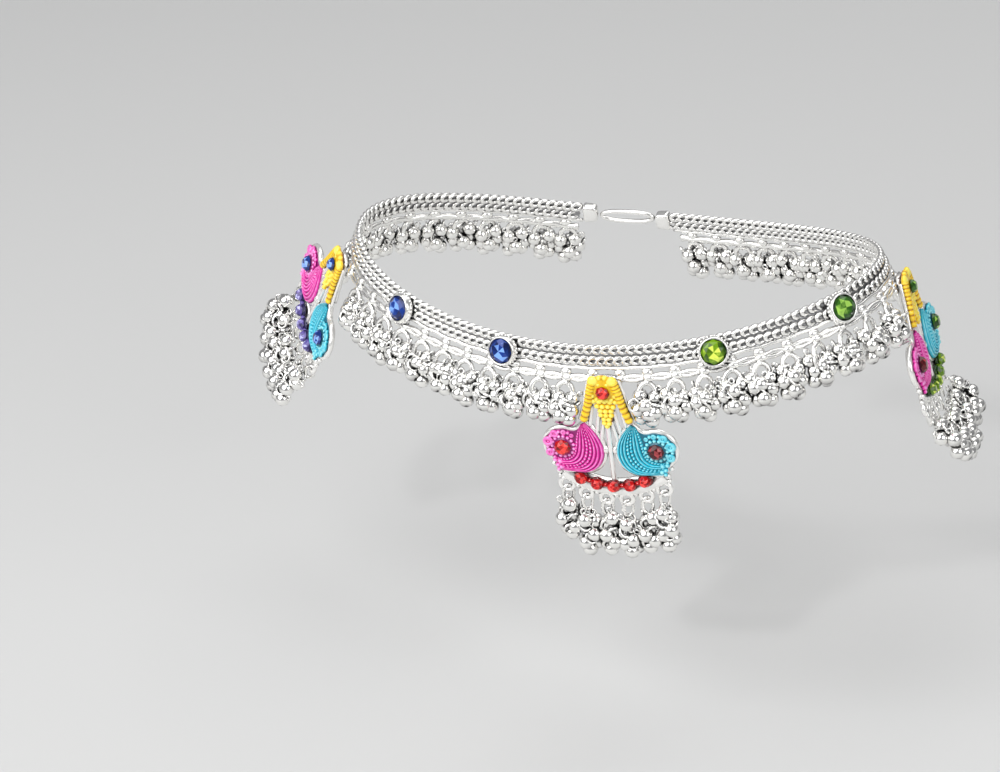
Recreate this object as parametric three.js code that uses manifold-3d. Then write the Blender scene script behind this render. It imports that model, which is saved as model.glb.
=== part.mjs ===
// A payal anklet: a woven silver band with a pierced gallery and a fringe of bells, four set
// stones and three enamelled peacock pendants. Millimetres, +Z up, origin at the loop's middle.
import * as THREE from "three";
import { mergeVertices } from "three/addons/utils/BufferGeometryUtils.js";
import Module from "manifold-3d";

const wasm = await Module();
wasm.setup();

// The loop round the ankle, along the middle of the band
const LOOP_LONG = 102; // heel to toe
const LOOP_WIDE = 59; // side to side
const LOOP_SAG = 4; // the long sides hang this far below the level, the ends rise as far
const FRONT_ANGLE = -79; // place of the front pendant on the loop, degrees
const FLARE_SIDE = 15; // lean of band and fringe off the plumb at the sides, degrees
const FLARE_HEEL = 24; // and at the heel
const FLARE_TOE = 22; // and at the toe

// Band, gallery and fringe
const BAND_TALL = 4;
const BAND_THICK = 1.6;
const BAND_STEP = 7.2; // length of one flat of the band along the loop
const RAIL_TALL = 0.6;
const RAIL_THICK = 1;
const GALLERY_TALL = 2.5;
const GALLERY_THICK = 0.9;
const GALLERY_WIRE = 0.6;
const CELL_PITCH = 4.95;
const KNOT_WIDE = 1.6;
const BUNCH_LONG = 7.8;
const BUNCH_WIDE = 4;
const BUNCH_DEEP = 3.4;
const BUNCH_SIDES = 8;

// Clasp, plain, at the back
const CLASP_LONG = 11;
const CLASP_TALL = 3.2;
const CLASP_THICK = 1.4;
const CLASP_SLOT = 1.4;
const CAP_LONG = 3;
const CAP_THICK = 2.2;

// Stones set on the band
const STONE_WIDE = 4.6;
const STONE_TALL = 2;
const COLLET_WALL = 0.35;
const COLLET_FLOOR = 0.6;
const COLLET_LIP = 0.9; // height of the wall over the floor
const STONE_NEAR = 19.5; // from the front pendant, along the loop
const STONE_FAR = 43;

// Pendants
const PENDANT_STAND = 0.3; // further out than the gallery behind needs
const PLATE_THICK = 0.8;
const ENAMEL_THICK = 1.1;
const ENAMEL_BEVEL = 0.25;
const CROWN_WIDE = 10.2;
const CROWN_TALL = 10.7;
const CROWN_STONE = 2.6;
const CROWN_STONE_DOWN = 3.3;
const BIRD_WIDE = 10.9;
const BIRD_APART = 2.4; // between the two birds' breasts
const BIRD_OVERLAP = 0.8; // how far a bird's back rises past the crown's foot
const BIRD_FOOT_DOWN = 0.94; // share of the bird's height that its foot takes over the swag's end
const BIRD_STONE = 3.2;
const BIRD_STONE_ACROSS = 0.69; // share of the bird's width
const BIRD_STONE_DOWN = 0.47; // share of the bird's height
const STEM_WIDE = 1.3;
const SWAG_CENTRE = 9; // height of the arcs' centre below the crown's top
const SWAG_RADIUS = 13.7;
const SWAG_BAR = 1.4;
const SWAG_STONE = 2.4;
const COMB_TALL = 3.2;
const COMB_STEP = 13; // degrees between two stones, and between two drops
const LUG_RADIUS = 1.25;
const LUG_HOLE = 0.75;
const RING_RADIUS = 1.15;
const RING_WIRE = 0.28;
const DROP_LONG = 13;
const DROP_WIDE = 3.1;
const DROP_DEEP = 3.6;

const CLEAR = 0.25; // gap between two pieces that touch
const SMALL_STONE_TALL = 1;
const STONE_SIDES = 8;
const ROUND_SIDES = 10;

const SILVER = { color: 0xd9dade, roughness: 0.25, metalness: 1 };
const YELLOW = { color: 0xf6c800, roughness: 0.3, metalness: 0 };
const PINK = { color: 0xe3209f, roughness: 0.3, metalness: 0 };
const TURQUOISE = { color: 0x00b4c8, roughness: 0.3, metalness: 0 };
const RED = { color: 0xb80812, roughness: 0.1, metalness: 0 };
const DARK_RED = { color: 0x4a0810, roughness: 0.1, metalness: 0 };
const BLUE = { color: 0x1c3a9c, roughness: 0.1, metalness: 0 };
const VIOLET = { color: 0x5a4aa0, roughness: 0.1, metalness: 0 };
const GREEN = { color: 0x4a8a10, roughness: 0.1, metalness: 0 };

// Where each pendant hangs, in quarters of the loop from the front and gallery cells from there, and
// its angles in degrees: lean off the plumb, turn about the plumb, tilt in its own plane, and how far
// its drops are held out from that plane by what they lie on
const PENDANTS = [
  { name: "front", quarter: 0, cells: 0, lean: -3, turn: 0, tilt: 1, splay: 0 },
  { name: "left", quarter: -1, cells: 0, lean: 18, turn: 12, tilt: -32, splay: 20 },
  { name: "right", quarter: 1, cells: -1, lean: 13, turn: -5, tilt: 1, splay: 25 },
];
const PENDANT_STONES = {
  front: { crown: RED, pink: RED, turquoise: RED, swag: RED },
  left: { crown: BLUE, pink: BLUE, turquoise: BLUE, swag: VIOLET },
  right: { crown: GREEN, pink: DARK_RED, turquoise: GREEN, swag: GREEN },
};
const BAND_STONES = [
  { name: "far_left", side: -1, arc: STONE_FAR, look: BLUE },
  { name: "near_left", side: -1, arc: STONE_NEAR, look: BLUE },
  { name: "near_right", side: 1, arc: STONE_NEAR, look: GREEN },
  { name: "far_right", side: 1, arc: STONE_FAR, look: GREEN },
];

// Right half of the crown's outline, shares of half its width and of its height
const CROWN_OUTLINE = [
  { across: 0.24, down: 0 },
  { across: 0.5, down: 0.05 },
  { across: 0.58, down: 0.16 },
  { across: 0.6, down: 0.32 },
  { across: 0.78, down: 0.65 },
  { across: 1, down: 0.86 },
  { across: 0.9, down: 0.93 },
  { across: 0.69, down: 0.9 },
  { across: 0.54, down: 0.68 },
  { across: 0.33, down: 0.6 },
  { across: 0.25, down: 0.8 },
  { across: 0.18, down: 0.96 },
];
// One bird's outline from its back, shares of its width from the breast and of its height
const BIRD_OUTLINE = [
  { across: 0.28, down: 0 },
  { across: 0.13, down: 0.17 },
  { across: 0.02, down: 0.39 },
  { across: 0, down: 0.61 },
  { across: 0.07, down: 0.83 },
  { across: 0.24, down: 0.97 },
  { across: 0.44, down: 0.92 },
  { across: 0.72, down: 0.97 },
  { across: 0.84, down: 0.72 },
  { across: 1, down: 0.54 },
  { across: 0.99, down: 0.37 },
  { across: 0.87, down: 0.19 },
  { across: 0.74, down: 0.16 },
  { across: 0.62, down: 0.23 },
  { across: 0.51, down: 0.2 },
  { across: 0.4, down: 0.05 },
];
// A bunch of bells from its neck down, shares of its length and of its half width
const BUNCH_ROWS = [
  { down: 0, half: 0.18 },
  { down: 0.36, half: 0.8 },
  { down: 0.68, half: 1 },
  { down: 1, half: 0.4 },
];
const BUNCH_LOBE = 0.12; // how far every other side stands in

const radians = THREE.MathUtils.degToRad;

// The loop

function loopPoint(angle) {
  return new THREE.Vector3(
    (LOOP_LONG / 2) * Math.cos(angle),
    (LOOP_WIDE / 2) * Math.sin(angle),
    LOOP_SAG * Math.cos(2 * angle),
  );
}

const ARC_STEPS = 1440;
const arcTable = [0];
for (let i = 1; i <= ARC_STEPS; i++) {
  const from = loopPoint(((i - 1) / ARC_STEPS) * 2 * Math.PI);
  const to = loopPoint((i / ARC_STEPS) * 2 * Math.PI);
  arcTable.push(arcTable[i - 1] + from.distanceTo(to));
}
const LOOP_LENGTH = arcTable[ARC_STEPS];

// Length of the loop from angle 0 to an angle from 0 to a full turn.
function arcOf(angle) {
  const place = (angle / (2 * Math.PI)) * ARC_STEPS;
  const i = Math.min(Math.floor(place), ARC_STEPS - 1);
  return arcTable[i] + (place - i) * (arcTable[i + 1] - arcTable[i]);
}
const FRONT_ARC = arcOf(radians(FRONT_ANGLE + 360));

// Angle on the loop at a length from the front pendant, positive to the right.
function angleAt(arc) {
  const length = (((arc + FRONT_ARC) % LOOP_LENGTH) + LOOP_LENGTH) % LOOP_LENGTH;
  let low = 0;
  let high = ARC_STEPS;
  while (high - low > 1) {
    const middle = (low + high) >> 1;
    if (arcTable[middle] <= length) low = middle;
    else high = middle;
  }
  const share = (length - arcTable[low]) / (arcTable[high] - arcTable[low]);
  return ((low + share) / ARC_STEPS) * 2 * Math.PI;
}

function outwardAt(angle) {
  return new THREE.Vector3(
    LOOP_WIDE * Math.cos(angle),
    LOOP_LONG * Math.sin(angle),
    0,
  ).normalize();
}

function flareAt(angle) {
  const end = Math.cos(angle) > 0 ? FLARE_HEEL : FLARE_TOE;
  return radians(FLARE_SIDE + (end - FLARE_SIDE) * Math.cos(angle) ** 2);
}

// A frame on the loop: x along it to the right, y up the leaning face, z out of the face. Its place
// is always on the loop's own leaning face, and its axes may be set at angles of their own.
function seatAt(arc, down, out, lean = flareAt(angleAt(arc)), turned = 0, tilt = 0) {
  const angle = angleAt(arc);
  const outward = outwardAt(angle);
  const along = new THREE.Vector3(-outward.y, outward.x, 0);
  const turn = new THREE.Matrix4().makeBasis(along, new THREE.Vector3(0, 0, 1), outward);
  turn.multiply(new THREE.Matrix4().makeRotationY(turned));
  turn.multiply(new THREE.Matrix4().makeRotationX(-lean));
  turn.multiply(new THREE.Matrix4().makeRotationZ(tilt));
  const flare = new THREE.Matrix4().makeBasis(along, new THREE.Vector3(0, 0, 1), outward);
  flare.multiply(new THREE.Matrix4().makeRotationX(-flareAt(angle)));
  const place = new THREE.Vector3(0, -down, out).applyMatrix4(flare).add(loopPoint(angle));
  return turn.setPosition(place);
}

// A point on the leaning face at a length along the loop.
function onLoop(arc, down, out) {
  return new THREE.Vector3().applyMatrix4(seatAt(arc, down, out));
}

// Solids

function solidOf(geometry) {
  const bare = geometry.clone();
  bare.deleteAttribute("normal");
  bare.deleteAttribute("uv");
  const merged = mergeVertices(bare, 1e-4);
  return new wasm.Manifold(
    new wasm.Mesh({
      numProp: 3,
      vertProperties: merged.attributes.position.array,
      triVerts: new Uint32Array(merged.index.array),
    }),
  );
}

function geometryOf(solid) {
  const mesh = solid.getMesh();
  const geometry = new THREE.BufferGeometry();
  geometry.setAttribute("position", new THREE.BufferAttribute(mesh.vertProperties, 3));
  geometry.setIndex(new THREE.BufferAttribute(mesh.triVerts, 1));
  return geometry;
}

function fused(geometries) {
  return geometryOf(geometries.map(solidOf).reduce((whole, next) => whole.add(next)));
}

function cut(geometry, holes) {
  return geometryOf(holes.map(solidOf).reduce((rest, hole) => rest.subtract(hole), solidOf(geometry)));
}

// Rings of equal point counts joined into one closed skin, flat at both ends.
function skin(rings) {
  const count = rings[0].length;
  const points = rings.flat();
  const index = [];
  for (let i = 0; i + 1 < rings.length; i++) {
    for (let j = 0; j < count; j++) {
      const a = i * count + j;
      const b = i * count + ((j + 1) % count);
      index.push(a, b, b + count, a, b + count, a + count);
    }
  }
  const last = (rings.length - 1) * count;
  for (let j = 1; j + 1 < count; j++) {
    index.push(0, j + 1, j);
    index.push(last, last + j, last + j + 1);
  }
  return new THREE.BufferGeometry().setFromPoints(points).setIndex(index);
}

function plate(outline, thick, bevel = 0) {
  const shape = new THREE.Shape(outline);
  const geometry = new THREE.ExtrudeGeometry(shape, {
    depth: thick - bevel,
    bevelEnabled: bevel > 0,
    bevelThickness: bevel,
    bevelSize: bevel,
    bevelOffset: -bevel,
    bevelSegments: 1,
    curveSegments: 4,
  });
  return bevel > 0 ? flatBack(geometry, thick, bevel) : geometry;
}

// A bevelled plate with its back bevel pressed flat, so that only its front edge is eased.
function flatBack(geometry, thick, bevel) {
  const z = geometry.attributes.position;
  for (let i = 0; i < z.count; i++) z.setZ(i, Math.max(z.getZ(i), -bevel / 2));
  geometry.translate(0, 0, bevel / 2);
  geometry.scale(1, 1, thick / (thick + bevel / 2));
  return geometry;
}

function circle(across, down, radius, sides) {
  const points = [];
  for (let i = 0; i < sides; i++) {
    const turn = ((i + 0.5) / sides) * 2 * Math.PI;
    points.push(new THREE.Vector2(across + radius * Math.cos(turn), -down + radius * Math.sin(turn)));
  }
  return points;
}

// Cut stones, rings of facets from the back to the table, shares of half the width and of the height
const STONE_CUT = [
  { half: 0.45, up: 0 },
  { half: 1, up: 0.55 },
  { half: 0.58, up: 1 },
];
const FLAT_CUT = [
  { half: 1, up: 0 },
  { half: 0.58, up: 1 },
];

// A cut stone on z 0 facing +z, with a table and a ring of crown facets.
function cutStone(wide, tall, cuts = STONE_CUT) {
  const rings = cuts.map(({ half, up }) =>
    Array.from({ length: STONE_SIDES }, (_, i) => {
      const turn = ((i + 0.5) / STONE_SIDES) * 2 * Math.PI;
      const radius = (half * wide) / 2;
      return new THREE.Vector3(radius * Math.cos(turn), radius * Math.sin(turn), up * tall);
    }),
  );
  return skin(rings);
}

// A bunch of bells hanging down from y 0, a lobed lock with a neck.
function bunch(long, wide, deep, top) {
  const rings = BUNCH_ROWS.map((row, i) =>
    Array.from({ length: BUNCH_SIDES }, (_, j) => {
      const turn = (j / BUNCH_SIDES) * 2 * Math.PI;
      const half = row.half * (1 - ((i + j) % 2) * BUNCH_LOBE);
      const x = (wide / 2) * half * Math.cos(turn);
      const z = (deep / 2) * half * Math.sin(turn);
      return new THREE.Vector3(x, -top - row.down * (long - top), z);
    }),
  );
  return skin(rings);
}

function named(name, geometry, look) {
  const mesh = new THREE.Mesh(geometry, new THREE.MeshStandardMaterial(look));
  mesh.name = name;
  return mesh;
}

// Pieces along the loop

const HALF_BAND = BAND_TALL / 2;
const GALLERY_TOP = HALF_BAND + RAIL_TALL + CLEAR;
const GALLERY_FOOT = GALLERY_TOP + GALLERY_TALL;
const QUARTER = LOOP_LENGTH / 4;
const CELLS = Math.round(QUARTER / CELL_PITCH);
const CELL = QUARTER / CELLS;
const BAND_END = LOOP_LENGTH / 2 - CLASP_LONG / 2 - CLEAR - CAP_LONG - CLEAR;

// The woven band: two rounded rows with a rail under them, open at the clasp.
function makeBand() {
  const face = BAND_THICK / 2;
  const rail = RAIL_THICK / 2;
  const section = [
    [-HALF_BAND, face * 0.5],
    [-HALF_BAND * 0.75, face],
    [-HALF_BAND * 0.25, face],
    [0, face * 0.5],
    [HALF_BAND * 0.25, face],
    [HALF_BAND * 0.75, face],
    [HALF_BAND, rail],
    [HALF_BAND + RAIL_TALL, rail],
    [HALF_BAND + RAIL_TALL, -rail],
    [HALF_BAND * 0.75, -face],
    [-HALF_BAND * 0.75, -face],
    [-HALF_BAND, -face * 0.5],
  ];
  const steps = Math.ceil((2 * BAND_END) / BAND_STEP);
  const rings = [];
  for (let i = 0; i <= steps; i++) {
    const arc = -BAND_END + (2 * BAND_END * i) / steps;
    rings.push(section.map(([down, out]) => onLoop(arc, down, out)));
  }
  return named("band_chain", skin(rings), SILVER);
}

// A stretch of gallery: two wires joined by a knot at the middle of each step between cells.
function galleryStrip(start, cells) {
  const levels = [0, GALLERY_WIRE, GALLERY_TALL - GALLERY_WIRE, GALLERY_TALL];
  const edges = [start];
  for (let i = 0; i < cells; i++) {
    const knot = start + (i + 0.5) * CELL;
    edges.push(knot - KNOT_WIDE / 2, knot + KNOT_WIDE / 2);
  }
  edges.push(start + cells * CELL);
  const points = [];
  for (const arc of edges) {
    for (const level of levels) {
      for (const side of [1, -1]) {
        points.push(onLoop(arc, GALLERY_TOP + level, (side * GALLERY_THICK) / 2));
      }
    }
  }
  const at = (column, level, side) => (column * 4 + level) * 2 + side;
  const index = [];
  const quad = (a, b, c, d) => index.push(a, b, c, a, c, d);
  const last = edges.length - 1;
  for (let i = 0; i < last; i++) {
    const slotted = i % 2 === 0;
    for (let j = 0; j < 3; j++) {
      if (slotted && j === 1) continue;
      quad(at(i, j, 0), at(i, j + 1, 0), at(i + 1, j + 1, 0), at(i + 1, j, 0));
      quad(at(i, j, 1), at(i + 1, j, 1), at(i + 1, j + 1, 1), at(i, j + 1, 1));
    }
    quad(at(i, 0, 1), at(i, 0, 0), at(i + 1, 0, 0), at(i + 1, 0, 1));
    quad(at(i, 3, 0), at(i, 3, 1), at(i + 1, 3, 1), at(i + 1, 3, 0));
    if (slotted) {
      quad(at(i, 1, 0), at(i, 1, 1), at(i + 1, 1, 1), at(i + 1, 1, 0));
      quad(at(i, 2, 1), at(i, 2, 0), at(i + 1, 2, 0), at(i + 1, 2, 1));
    }
  }
  for (let i = 1; i < last; i++) {
    const [near, far] = i % 2 === 1 ? [0, 1] : [1, 0];
    quad(at(i, 1, near), at(i, 1, far), at(i, 2, far), at(i, 2, near));
  }
  for (const j of [0, 2]) {
    quad(at(0, j, 0), at(0, j, 1), at(0, j + 1, 1), at(0, j + 1, 0));
    quad(at(last, j, 1), at(last, j, 0), at(last, j + 1, 0), at(last, j + 1, 1));
  }
  return new THREE.BufferGeometry().setFromPoints(points).setIndex(index);
}

const pendantArc = ({ quarter, cells }) => quarter * QUARTER + cells * CELL;
const behindCrown = (arc) =>
  PENDANTS.some((pendant) => Math.abs(pendantArc(pendant) - arc) < CROWN_WIDE / 2);

// A stretch of fringe: the gallery with a bunch of bells under each knot that no crown covers.
function makeFringe(name, start, cells) {
  const pieces = [galleryStrip(start, cells)];
  for (let i = 0; i < cells; i++) {
    const knot = start + (i + 0.5) * CELL;
    if (behindCrown(knot)) continue;
    const seat = seatAt(knot, GALLERY_FOOT, 0);
    pieces.push(bunch(BUNCH_LONG, BUNCH_WIDE, BUNCH_DEEP, -GALLERY_WIRE / 2).applyMatrix4(seat));
  }
  return named(name, fused(pieces), SILVER);
}

function makeCapOutline(side) {
  const inner = (side * CAP_LONG) / 2;
  return [
    new THREE.Vector2(-inner, -HALF_BAND),
    new THREE.Vector2(-inner, HALF_BAND),
    new THREE.Vector2(inner, CLASP_TALL / 2),
    new THREE.Vector2(inner, -CLASP_TALL / 2),
  ];
}

// The two end caps and the plain clasp between them, at the middle of the back.
function makeClasp() {
  const group = new THREE.Group();
  const back = LOOP_LENGTH / 2;
  for (const [name, side] of [["end_cap_right", 1], ["end_cap_left", -1]]) {
    const arc = side * (BAND_END + CLEAR + CAP_LONG / 2);
    const outline = makeCapOutline(side);
    const cap = named(name, plate(side > 0 ? outline.reverse() : outline, CAP_THICK), SILVER);
    cap.applyMatrix4(seatAt(arc, 0, -CAP_THICK / 2));
    group.add(cap);
  }
  const half = CLASP_TALL / 2;
  const reach = CLASP_LONG / 2 - half;
  const shape = new THREE.Shape();
  shape.absarc(reach, 0, half, -Math.PI / 2, Math.PI / 2);
  shape.absarc(-reach, 0, half, Math.PI / 2, (3 * Math.PI) / 2);
  const slot = new THREE.Path();
  slot.absarc(reach, 0, CLASP_SLOT / 2, -Math.PI / 2, Math.PI / 2);
  slot.absarc(-reach, 0, CLASP_SLOT / 2, Math.PI / 2, (3 * Math.PI) / 2);
  shape.holes.push(slot);
  const link = new THREE.ExtrudeGeometry(shape, {
    depth: CLASP_THICK,
    bevelEnabled: false,
    curveSegments: 5,
  });
  const clasp = named("clasp", link, SILVER);
  clasp.applyMatrix4(seatAt(back, 0, -CLASP_THICK / 2));
  group.add(clasp);
  return group;
}

// A cut stone in its collet on the face of the band.
function makeBandStone({ name, side, arc, look }) {
  const group = new THREE.Group();
  const inner = STONE_WIDE / 2 + CLEAR / 2;
  const outer = inner + COLLET_WALL;
  const profile = [
    [0, 0],
    [outer, 0],
    [outer, COLLET_FLOOR + COLLET_LIP],
    [inner, COLLET_FLOOR + COLLET_LIP],
    [inner, COLLET_FLOOR],
    [0, COLLET_FLOOR],
  ].map(([radius, height]) => new THREE.Vector2(radius, height));
  const cup = new THREE.LatheGeometry(profile, ROUND_SIDES).rotateX(Math.PI / 2);
  group.add(named("collet_" + name, cup, SILVER));
  const stone = named("stone_" + name, cutStone(STONE_WIDE, STONE_TALL), look);
  stone.position.z = COLLET_FLOOR + CLEAR / 2;
  group.add(stone);
  group.applyMatrix4(seatAt(side * arc, HALF_BAND - STONE_WIDE / 2 + GALLERY_TALL / 2, BAND_THICK / 2 + CLEAR));
  return group;
}

// Pieces of a pendant, in a frame with x to the right, y up from the crown's top, z out

const PLATE_TOP = PLATE_THICK;
const ENAMEL_BACK = PLATE_TOP + CLEAR;
const ENAMEL_TOP = ENAMEL_BACK + ENAMEL_THICK;
const BIRD_TOP = CROWN_TALL - BIRD_OVERLAP;
const SWAG_INNER = SWAG_RADIUS - SWAG_BAR / 2;
const SWAG_HALF_TURN = 2.4 * COMB_STEP;
const SWAG_END = SWAG_CENTRE + SWAG_INNER * Math.cos(radians(SWAG_HALF_TURN));
const BIRD_TALL = (SWAG_END - CLEAR - BIRD_TOP) / BIRD_FOOT_DOWN;
const COMB_INNER = SWAG_INNER;
const COMB_OUTER = COMB_INNER + COMB_TALL;

function crownOutline() {
  const right = CROWN_OUTLINE.map(
    ({ across, down }) => new THREE.Vector2((across * CROWN_WIDE) / 2, -down * CROWN_TALL),
  );
  const foot = new THREE.Vector2(0, -CROWN_TALL);
  const left = right.map(({ x, y }) => new THREE.Vector2(-x, y)).reverse();
  return [...right, foot, ...left].reverse();
}

function birdOutline(side) {
  const outline = BIRD_OUTLINE.map(
    ({ across, down }) =>
      new THREE.Vector2(
        side * (BIRD_APART / 2 + across * BIRD_WIDE),
        -(BIRD_TOP + down * BIRD_TALL),
      ),
  );
  return side > 0 ? outline : outline.reverse();
}

// A piece of a ring about the arcs' centre, between two radii, as wide as a turn in degrees.
function arcOutline(inner, outer, halfTurn, steps) {
  const points = [];
  const add = (radius, turn) =>
    points.push(
      new THREE.Vector2(radius * Math.sin(radians(turn)), -SWAG_CENTRE - radius * Math.cos(radians(turn))),
    );
  for (let i = 0; i <= steps; i++) add(outer, -halfTurn + (2 * halfTurn * i) / steps);
  for (let i = steps; i >= 0; i--) add(inner, -halfTurn + (2 * halfTurn * i) / steps);
  return points;
}

function onSwag(radius, turn) {
  return {
    across: radius * Math.sin(radians(turn)),
    down: SWAG_CENTRE + radius * Math.cos(radians(turn)),
  };
}

const DROP_COUNT = 6;
const dropTurn = (i) => (i - (DROP_COUNT - 1) / 2) * COMB_STEP;
const LUG_CENTRE = COMB_OUTER + LUG_HOLE;

// The silver plate behind the enamel, its stems and the comb with its lugs.
function makePlate() {
  const stem = (fromAcross, fromDown, toAcross, toDown) => {
    const way = new THREE.Vector2(toAcross - fromAcross, fromDown - toDown).normalize();
    const side = new THREE.Vector2(-way.y, way.x).multiplyScalar(STEM_WIDE / 2);
    const from = new THREE.Vector2(fromAcross, -fromDown);
    const to = new THREE.Vector2(toAcross, -toDown);
    return [from.clone().sub(side), to.clone().sub(side), to.clone().add(side), from.clone().add(side)];
  };
  const birdInner = BIRD_APART / 2;
  const pieces = [
    crownOutline(),
    birdOutline(1),
    birdOutline(-1),
    stem(0, CROWN_TALL / 2, 0, SWAG_CENTRE + COMB_INNER + SWAG_BAR / 2),
    arcOutline(COMB_INNER, COMB_OUTER, dropTurn(DROP_COUNT - 1) + COMB_STEP / 2, 5),
  ];
  for (const side of [-1, 1]) {
    const back = side * (birdInner + 0.28 * BIRD_WIDE);
    pieces.push(stem(side * CROWN_WIDE * 0.4, CROWN_TALL * 0.8, back, BIRD_TOP + STEM_WIDE));
    pieces.push(stem(0, BIRD_TOP + BIRD_TALL * 0.6, side * (birdInner + STEM_WIDE), BIRD_TOP + BIRD_TALL * 0.6));
  }
  const holes = [];
  for (let i = 0; i < DROP_COUNT; i++) {
    const { across, down } = onSwag(LUG_CENTRE, dropTurn(i));
    pieces.push(circle(across, down, LUG_RADIUS, ROUND_SIDES));
    holes.push(circle(across, down, LUG_HOLE, STONE_SIDES));
  }
  const whole = fused(pieces.map((outline) => plate(outline, PLATE_THICK)));
  const bores = holes.map((outline) => plate(outline, 3 * PLATE_THICK).translate(0, 0, -PLATE_THICK));
  return cut(whole, bores);
}

// The swag: a bar with its row of stones set on it.
function makeSwag() {
  const bar = plate(arcOutline(SWAG_INNER, SWAG_INNER + SWAG_BAR, SWAG_HALF_TURN, 4), ENAMEL_THICK);
  const stones = [-2, -1, 0, 1, 2].map((i) => {
    const { across, down } = onSwag(SWAG_RADIUS, i * COMB_STEP);
    const tall = SMALL_STONE_TALL + ENAMEL_THICK / 2;
    return cutStone(SWAG_STONE, tall, FLAT_CUT).translate(across, -down, ENAMEL_THICK / 2);
  });
  return fused([bar, ...stones]);
}

// One drop: a ring through its lug with a bunch of bells fused under it, swung out about the ring.
function makeDrop(splay) {
  const ring = new THREE.TorusGeometry(RING_RADIUS, RING_WIRE, 5, 10).rotateY(Math.PI / 2);
  const hang = LUG_HOLE + (LUG_RADIUS - LUG_HOLE) / 2;
  const bells = bunch(DROP_LONG - hang, DROP_WIDE, DROP_DEEP, RING_RADIUS).rotateX(-splay);
  return fused([ring, bells]).translate(0, -hang, 0);
}

function makePendant(pendant) {
  const { name, lean, turn, tilt, splay } = pendant;
  const { crown, pink, turquoise, swag } = PENDANT_STONES[name];
  const group = new THREE.Group();
  const add = (piece, geometry, look, x = 0, y = 0, z = 0) => {
    const mesh = named(name + "_" + piece, geometry, look);
    mesh.position.set(x, y, z);
    group.add(mesh);
  };
  add("plate", makePlate(), SILVER);
  add("crown", plate(crownOutline(), ENAMEL_THICK, ENAMEL_BEVEL), YELLOW, 0, 0, ENAMEL_BACK);
  add("peacock_pink", plate(birdOutline(-1), ENAMEL_THICK, ENAMEL_BEVEL), PINK, 0, 0, ENAMEL_BACK);
  add("peacock_turquoise", plate(birdOutline(1), ENAMEL_THICK, ENAMEL_BEVEL), TURQUOISE, 0, 0, ENAMEL_BACK);
  const stoneBack = ENAMEL_TOP + CLEAR;
  const birdAcross = BIRD_APART / 2 + BIRD_STONE_ACROSS * BIRD_WIDE;
  const birdDown = BIRD_TOP + BIRD_STONE_DOWN * BIRD_TALL;
  add("crown_stone", cutStone(CROWN_STONE, SMALL_STONE_TALL), crown, 0, -CROWN_STONE_DOWN, stoneBack);
  add("pink_stone", cutStone(BIRD_STONE, SMALL_STONE_TALL), pink, -birdAcross, -birdDown, stoneBack);
  add("turquoise_stone", cutStone(BIRD_STONE, SMALL_STONE_TALL), turquoise, birdAcross, -birdDown, stoneBack);
  add("swag", makeSwag(), swag, 0, 0, ENAMEL_BACK);
  for (let i = 0; i < DROP_COUNT; i++) {
    const { across, down } = onSwag(LUG_CENTRE, dropTurn(i));
    add("drop_" + (i + 1), makeDrop(radians(splay)), SILVER, across, -down, PLATE_THICK / 2);
  }
  // The plate clears the gallery behind it, which leans out further down.
  const hang = HALF_BAND + RAIL_TALL;
  const arc = pendantArc(pendant);
  const slope = Math.max(0, Math.sin(flareAt(angleAt(arc)) - radians(lean)));
  const out = GALLERY_THICK / 2 + PENDANT_STAND + slope * (GALLERY_FOOT - hang);
  group.applyMatrix4(seatAt(arc, hang, out, radians(lean), radians(turn), radians(tilt)));
  return group;
}

// The whole anklet

const group = new THREE.Group();
group.add(makeBand());
const backCells = Math.floor((BAND_END - QUARTER) / CELL);
const FRINGE_GAP = CLEAR / 2;
group.add(makeFringe("fringe_front_left", -QUARTER + FRINGE_GAP, CELLS));
group.add(makeFringe("fringe_front_right", FRINGE_GAP, CELLS));
group.add(makeFringe("fringe_back_right", QUARTER + 2 * FRINGE_GAP, backCells));
group.add(makeFringe("fringe_back_left", -QUARTER - FRINGE_GAP - backCells * CELL, backCells));
group.add(makeClasp());
for (const stone of BAND_STONES) group.add(makeBandStone(stone));
for (const pendant of PENDANTS) group.add(makePendant(pendant));

export default group;
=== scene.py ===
import bmesh
import bpy
import numpy as np
from mathutils import Matrix, Vector


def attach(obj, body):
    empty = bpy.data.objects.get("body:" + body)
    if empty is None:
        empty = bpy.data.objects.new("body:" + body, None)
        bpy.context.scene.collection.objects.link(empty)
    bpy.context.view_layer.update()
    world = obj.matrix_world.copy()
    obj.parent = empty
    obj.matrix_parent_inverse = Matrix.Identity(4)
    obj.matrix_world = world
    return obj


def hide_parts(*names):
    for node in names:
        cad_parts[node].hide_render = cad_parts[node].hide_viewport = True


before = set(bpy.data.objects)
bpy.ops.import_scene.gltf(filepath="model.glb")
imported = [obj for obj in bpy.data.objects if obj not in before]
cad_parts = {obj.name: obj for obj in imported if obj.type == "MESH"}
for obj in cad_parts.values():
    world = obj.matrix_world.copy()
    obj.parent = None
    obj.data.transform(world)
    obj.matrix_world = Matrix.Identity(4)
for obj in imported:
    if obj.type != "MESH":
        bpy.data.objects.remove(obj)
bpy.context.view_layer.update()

mm = 0.001
tau = 2 * np.pi
rng = np.random.default_rng(7)  # seeded, so each run hangs the bells the same way

# Everything below is in millimetres until addPiece puts it into a mesh.
loop = {
    "long": 102, "wide": 59, "sag": 4,
    "frontAngle": -79,  # where the front pendant hangs, in degrees
    "flareSide": 15, "flareHeel": 24, "flareToe": 22,  # how far the band leans out, in degrees
    "cellsInQuarter": 13,
}


# the loop

def loopPoint(angle):  # x = a cos t, y = b sin t, z = sag cos 2t
    return np.stack([
        loop["long"] / 2 * np.cos(angle),
        loop["wide"] / 2 * np.sin(angle),
        loop["sag"] * np.cos(2 * angle),
    ], -1)


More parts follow.
